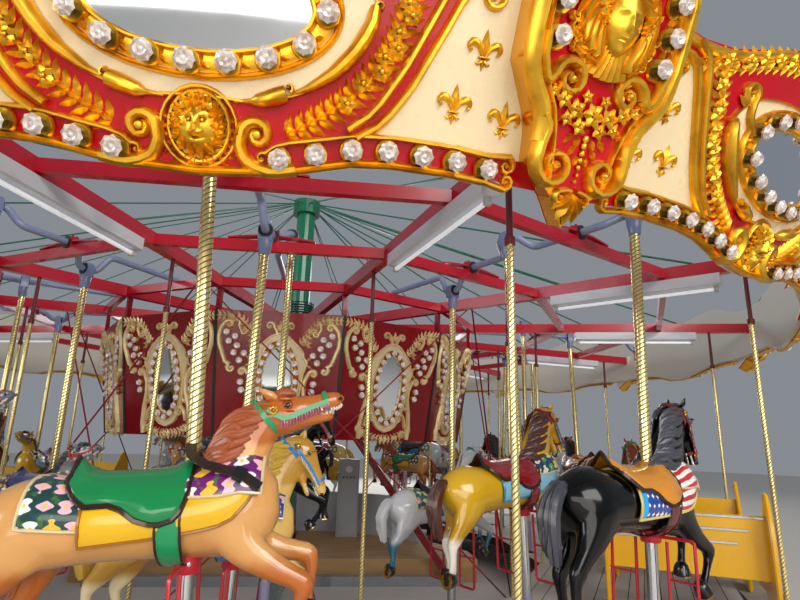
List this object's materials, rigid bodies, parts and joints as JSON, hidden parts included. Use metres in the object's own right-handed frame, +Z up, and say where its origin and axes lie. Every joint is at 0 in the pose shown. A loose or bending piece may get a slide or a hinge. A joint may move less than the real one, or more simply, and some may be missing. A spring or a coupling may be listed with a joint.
{
  "type": "fairground carousel with three rows of jumping horses",
  "caption": "Turning platform hung from radial sweeps on a mast, with jumping horses on crank shafts, bench chariots and ornamented rounding boards.",
  "frame": {"origin": "on the axis of turning, at ground level under the mast", "axes": "+Z up along the axis of turning; a bay with horses lies along +X, and the chariots lie at 150 and 330 degrees from +X"},
  "size_m": [10.9896, 10.9896, 4.56],
  "materials": {
    "green_paint": "gloss",
    "red_paint": "gloss",
    "blue_grey_paint": "gloss",
    "horse_paint": "gloss",
    "deck_board": "worn satin",
    "plywood": "matt",
    "grey_sheet": "satin",
    "board_paint": "gloss",
    "yellow_paint": "gloss"
  },
  "bodies": {
    "base": {"mast": "green_paint", "centre_platform": "plywood", "centre_screen": "grey_sheet", "control_cabinet": "grey_sheet"},
    "turntable": {"sweep_frame": "red_paint", "mast_head_and_stays": "green_paint", "deck": "deck_board", "drum_boards": "board_paint", "rounding_boards": "board_paint", "chariot_150": "yellow_paint", "chariot_330": "yellow_paint"},
    "crank_000": {"crank_000": "blue_grey_paint"},
    "horse_inner_000": {"horse_inner_000": "horse_paint"},
    "horse_middle_000": {"horse_middle_000": "horse_paint"},
    "horse_outer_000": {"horse_outer_000": "horse_paint"},
    "crank_030": {"crank_030": "blue_grey_paint"},
    "horse_inner_030": {"horse_inner_030": "horse_paint"},
    "horse_middle_030": {"horse_middle_030": "horse_paint"},
    "horse_outer_030": {"horse_outer_030": "horse_paint"},
    "crank_060": {"crank_060": "blue_grey_paint"},
    "horse_inner_060": {"horse_inner_060": "horse_paint"},
    "horse_middle_060": {"horse_middle_060": "horse_paint"},
    "horse_outer_060": {"horse_outer_060": "horse_paint"},
    "crank_090": {"crank_090": "blue_grey_paint"},
    "horse_inner_090": {"horse_inner_090": "horse_paint"},
    "horse_middle_090": {"horse_middle_090": "horse_paint"},
    "horse_outer_090": {"horse_outer_090": "horse_paint"},
    "crank_120": {"crank_120": "blue_grey_paint"},
    "horse_inner_120": {"horse_inner_120": "horse_paint"},
    "horse_middle_120": {"horse_middle_120": "horse_paint"},
    "horse_outer_120": {"horse_outer_120": "horse_paint"},
    "crank_180": {"crank_180": "blue_grey_paint"},
    "horse_inner_180": {"horse_inner_180": "horse_paint"},
    "horse_middle_180": {"horse_middle_180": "horse_paint"},
    "horse_outer_180": {"horse_outer_180": "horse_paint"},
    "crank_210": {"crank_210": "blue_grey_paint"},
    "horse_inner_210": {"horse_inner_210": "horse_paint"},
    "horse_middle_210": {"horse_middle_210": "horse_paint"},
    "horse_outer_210": {"horse_outer_210": "horse_paint"},
    "crank_240": {"crank_240": "blue_grey_paint"},
    "horse_inner_240": {"horse_inner_240": "horse_paint"},
    "horse_middle_240": {"horse_middle_240": "horse_paint"},
    "horse_outer_240": {"horse_outer_240": "horse_paint"},
    "crank_270": {"crank_270": "blue_grey_paint"},
    "horse_inner_270": {"horse_inner_270": "horse_paint"},
    "horse_middle_270": {"horse_middle_270": "horse_paint"},
    "horse_outer_270": {"horse_outer_270": "horse_paint"},
    "crank_300": {"crank_300": "blue_grey_paint"},
    "horse_inner_300": {"horse_inner_300": "horse_paint"},
    "horse_middle_300": {"horse_middle_300": "horse_paint"},
    "horse_outer_300": {"horse_outer_300": "horse_paint"}
  },
  "joints": [
    {"name": "turntable_spin", "type": "hinge", "parent": "base", "child": "turntable", "pos_m": [0, 0, 2.88], "axis": [0, 0, 1], "continuous": true},
    {"name": "crank_000_turn", "type": "hinge", "parent": "turntable", "child": "crank_000", "pos_m": [0, 0, 2.95], "axis": [1, 0, 0], "continuous": true},
    {"name": "horse_inner_000_hang", "type": "hinge", "parent": "crank_000", "child": "horse_inner_000", "pos_m": [2.83, -0.09642, 3.06491], "axis": [1, 0, 0], "continuous": true},
    {"name": "horse_middle_000_hang", "type": "hinge", "parent": "crank_000", "child": "horse_middle_000", "pos_m": [3.55, 0.14772, 2.97605], "axis": [1, 0, 0], "continuous": true},
    {"name": "horse_outer_000_hang", "type": "hinge", "parent": "crank_000", "child": "horse_outer_000", "pos_m": [4.38, -0.0513, 2.80905], "axis": [1, 0, 0], "continuous": true},
    {"name": "crank_030_turn", "type": "hinge", "parent": "turntable", "child": "crank_030", "pos_m": [0, 0, 2.95], "axis": [0.866, 0.5, 0], "continuous": true},
    {"name": "horse_inner_030_hang", "type": "hinge", "parent": "crank_030", "child": "horse_inner_030", "pos_m": [2.3934, 1.51451, 2.85358], "axis": [0.866, 0.5, 0], "continuous": true},
    {"name": "horse_middle_030_hang", "type": "hinge", "parent": "crank_030", "child": "horse_middle_030", "pos_m": [3.14487, 1.65293, 2.8987], "axis": [0.866, 0.5, 0], "continuous": true},
    {"name": "horse_outer_030_hang", "type": "hinge", "parent": "crank_030", "child": "horse_outer_030", "pos_m": [3.78017, 2.21256, 3.09772], "axis": [0.866, 0.5, 0], "continuous": true},
    {"name": "crank_060_turn", "type": "hinge", "parent": "turntable", "child": "crank_060", "pos_m": [0, 0, 2.95], "axis": [0.5, 0.866, 0], "continuous": true},
    {"name": "horse_inner_060_hang", "type": "hinge", "parent": "crank_060", "child": "horse_inner_060", "pos_m": [1.53707, 2.38037, 2.8987], "axis": [0.5, 0.866, 0], "continuous": true},
    {"name": "horse_middle_060_hang", "type": "hinge", "parent": "crank_060", "child": "horse_middle_060", "pos_m": [1.75244, 3.08741, 3.09772], "axis": [0.5, 0.866, 0], "continuous": true},
    {"name": "horse_outer_060_hang", "type": "hinge", "parent": "crank_060", "child": "horse_outer_060", "pos_m": [2.09049, 3.85065, 2.85358], "axis": [0.5, 0.866, 0], "continuous": true},
    {"name": "crank_090_turn", "type": "hinge", "parent": "turntable", "child": "crank_090", "pos_m": [0, 0, 2.95], "axis": [0, 1, 0], "continuous": true},
    {"name": "horse_inner_090_hang", "type": "hinge", "parent": "crank_090", "child": "horse_inner_090", "pos_m": [-0.14095, 2.83, 3.0013], "axis": [0, 1, 0], "continuous": true},
    {"name": "horse_middle_090_hang", "type": "hinge", "parent": "crank_090", "child": "horse_middle_090", "pos_m": [0.02605, 3.55, 2.80228], "axis": [0, 1, 0], "continuous": true},
    {"name": "horse_outer_090_hang", "type": "hinge", "parent": "crank_090", "child": "horse_outer_090", "pos_m": [0.11491, 4.38, 3.04642], "axis": [0, 1, 0], "continuous": true},
    {"name": "crank_120_turn", "type": "hinge", "parent": "turntable", "child": "crank_120", "pos_m": [0, 0, 2.95], "axis": [-0.5, 0.866, 0], "continuous": true},
    {"name": "horse_inner_120_hang", "type": "hinge", "parent": "crank_120", "child": "horse_inner_120", "pos_m": [-1.40368, 2.45739, 3.09943], "axis": [-0.5, 0.866, 0], "continuous": true},
    {"name": "horse_middle_120_hang", "type": "hinge", "parent": "crank_120", "child": "horse_middle_120", "pos_m": [-1.89273, 3.00642, 2.88661], "axis": [-0.5, 0.866, 0], "continuous": true},
    {"name": "horse_outer_120_hang", "type": "hinge", "parent": "crank_120", "child": "horse_outer_120", "pos_m": [-2.08359, 3.85463, 2.86396], "axis": [-0.5, 0.866, 0], "continuous": true},
    {"name": "crank_180_turn", "type": "hinge", "parent": "turntable", "child": "crank_180", "pos_m": [0, 0, 2.95], "axis": [-1, 0, 0], "continuous": true},
    {"name": "horse_inner_180_hang", "type": "hinge", "parent": "crank_180", "child": "horse_inner_180", "pos_m": [-2.83, 0.1299, 2.875], "axis": [-1, 0, 0], "continuous": true},
    {"name": "horse_middle_180_hang", "type": "hinge", "parent": "crank_180", "child": "horse_middle_180", "pos_m": [-3.55, 0, 3.1], "axis": [-1, 0, 0], "continuous": true},
    {"name": "horse_outer_180_hang", "type": "hinge", "parent": "crank_180", "child": "horse_outer_180", "pos_m": [-4.38, -0.1299, 2.875], "axis": [-1, 0, 0], "continuous": true},
    {"name": "crank_210_turn", "type": "hinge", "parent": "turntable", "child": "crank_210", "pos_m": [0, 0, 2.95], "axis": [-0.866, -0.5, 0], "continuous": true},
    {"name": "horse_inner_210_hang", "type": "hinge", "parent": "crank_210", "child": "horse_inner_210", "pos_m": [-2.52471, -1.28707, 2.97605], "axis": [-0.866, -0.5, 0], "continuous": true},
    {"name": "horse_middle_210_hang", "type": "hinge", "parent": "crank_210", "child": "horse_middle_210", "pos_m": [-3.02618, -1.8585, 3.06491], "axis": [-0.866, -0.5, 0], "continuous": true},
    {"name": "horse_outer_210_hang", "type": "hinge", "parent": "crank_210", "child": "horse_outer_210", "pos_m": [-3.76754, -2.23443, 2.80905], "axis": [-0.866, -0.5, 0], "continuous": true},
    {"name": "crank_240_turn", "type": "hinge", "parent": "turntable", "child": "crank_240", "pos_m": [0, 0, 2.95], "axis": [-0.5, -0.866, 0], "continuous": true},
    {"name": "horse_inner_240_hang", "type": "hinge", "parent": "crank_240", "child": "horse_inner_240", "pos_m": [-1.4699, -2.41916, 2.81405], "axis": [-0.5, -0.866, 0], "continuous": true},
    {"name": "horse_middle_240_hang", "type": "hinge", "parent": "crank_240", "child": "horse_middle_240", "pos_m": [-1.84951, -3.03137, 3.07287], "axis": [-0.5, -0.866, 0], "continuous": true},
    {"name": "horse_outer_240_hang", "type": "hinge", "parent": "crank_240", "child": "horse_outer_240", "pos_m": [-2.06059, -3.86791, 2.96307], "axis": [-0.5, -0.866, 0], "continuous": true},
    {"name": "crank_270_turn", "type": "hinge", "parent": "turntable", "child": "crank_270", "pos_m": [0, 0, 2.95], "axis": [0, -1, 0], "continuous": true},
    {"name": "horse_inner_270_hang", "type": "hinge", "parent": "crank_270", "child": "horse_inner_270", "pos_m": [0.11491, -2.83, 3.04642], "axis": [0, -1, 0], "continuous": true},
    {"name": "horse_middle_270_hang", "type": "hinge", "parent": "crank_270", "child": "horse_middle_270", "pos_m": [0.02605, -3.55, 2.80228], "axis": [0, -1, 0], "continuous": true},
    {"name": "horse_outer_270_hang", "type": "hinge", "parent": "crank_270", "child": "horse_outer_270", "pos_m": [-0.14095, -4.38, 3.0013], "axis": [0, -1, 0], "continuous": true},
    {"name": "crank_300_turn", "type": "hinge", "parent": "turntable", "child": "crank_300", "pos_m": [0, 0, 2.95], "axis": [0.5, -0.866, 0], "continuous": true},
    {"name": "horse_inner_300_hang", "type": "hinge", "parent": "crank_300", "child": "horse_inner_300", "pos_m": [1.415, -2.45085, 2.8], "axis": [0.5, -0.866, 0], "continuous": true},
    {"name": "horse_middle_300_hang", "type": "hinge", "parent": "crank_300", "child": "horse_middle_300", "pos_m": [1.6625, -3.13934, 3.025], "axis": [0.5, -0.866, 0], "continuous": true},
    {"name": "horse_outer_300_hang", "type": "hinge", "parent": "crank_300", "child": "horse_outer_300", "pos_m": [2.3025, -3.72824, 3.025], "axis": [0.5, -0.866, 0], "continuous": true}
  ],
  "couplings": [
    {"joint": "crank_000_turn", "follows": "turntable_spin", "ratio": -5},
    {"joint": "horse_inner_000_hang", "follows": "turntable_spin", "ratio": 5},
    {"joint": "horse_middle_000_hang", "follows": "turntable_spin", "ratio": 5},
    {"joint": "horse_outer_000_hang", "follows": "turntable_spin", "ratio": 5},
    {"joint": "crank_030_turn", "follows": "turntable_spin", "ratio": -5},
    {"joint": "horse_inner_030_hang", "follows": "turntable_spin", "ratio": 5},
    {"joint": "horse_middle_030_hang", "follows": "turntable_spin", "ratio": 5},
    {"joint": "horse_outer_030_hang", "follows": "turntable_spin", "ratio": 5},
    {"joint": "crank_060_turn", "follows": "turntable_spin", "ratio": -5},
    {"joint": "horse_inner_060_hang", "follows": "turntable_spin", "ratio": 5},
    {"joint": "horse_middle_060_hang", "follows": "turntable_spin", "ratio": 5},
    {"joint": "horse_outer_060_hang", "follows": "turntable_spin", "ratio": 5},
    {"joint": "crank_090_turn", "follows": "turntable_spin", "ratio": -5},
    {"joint": "horse_inner_090_hang", "follows": "turntable_spin", "ratio": 5},
    {"joint": "horse_middle_090_hang", "follows": "turntable_spin", "ratio": 5},
    {"joint": "horse_outer_090_hang", "follows": "turntable_spin", "ratio": 5},
    {"joint": "crank_120_turn", "follows": "turntable_spin", "ratio": -5},
    {"joint": "horse_inner_120_hang", "follows": "turntable_spin", "ratio": 5},
    {"joint": "horse_middle_120_hang", "follows": "turntable_spin", "ratio": 5},
    {"joint": "horse_outer_120_hang", "follows": "turntable_spin", "ratio": 5},
    {"joint": "crank_180_turn", "follows": "turntable_spin", "ratio": -5},
    {"joint": "horse_inner_180_hang", "follows": "turntable_spin", "ratio": 5},
    {"joint": "horse_middle_180_hang", "follows": "turntable_spin", "ratio": 5},
    {"joint": "horse_outer_180_hang", "follows": "turntable_spin", "ratio": 5},
    {"joint": "crank_210_turn", "follows": "turntable_spin", "ratio": -5},
    {"joint": "horse_inner_210_hang", "follows": "turntable_spin", "ratio": 5},
    {"joint": "horse_middle_210_hang", "follows": "turntable_spin", "ratio": 5},
    {"joint": "horse_outer_210_hang", "follows": "turntable_spin", "ratio": 5},
    {"joint": "crank_240_turn", "follows": "turntable_spin", "ratio": -5},
    {"joint": "horse_inner_240_hang", "follows": "turntable_spin", "ratio": 5},
    {"joint": "horse_middle_240_hang", "follows": "turntable_spin", "ratio": 5},
    {"joint": "horse_outer_240_hang", "follows": "turntable_spin", "ratio": 5},
    {"joint": "crank_270_turn", "follows": "turntable_spin", "ratio": -5},
    {"joint": "horse_inner_270_hang", "follows": "turntable_spin", "ratio": 5},
    {"joint": "horse_middle_270_hang", "follows": "turntable_spin", "ratio": 5},
    {"joint": "horse_outer_270_hang", "follows": "turntable_spin", "ratio": 5},
    {"joint": "crank_300_turn", "follows": "turntable_spin", "ratio": -5},
    {"joint": "horse_inner_300_hang", "follows": "turntable_spin", "ratio": 5},
    {"joint": "horse_middle_300_hang", "follows": "turntable_spin", "ratio": 5},
    {"joint": "horse_outer_300_hang", "follows": "turntable_spin", "ratio": 5}
  ]
}
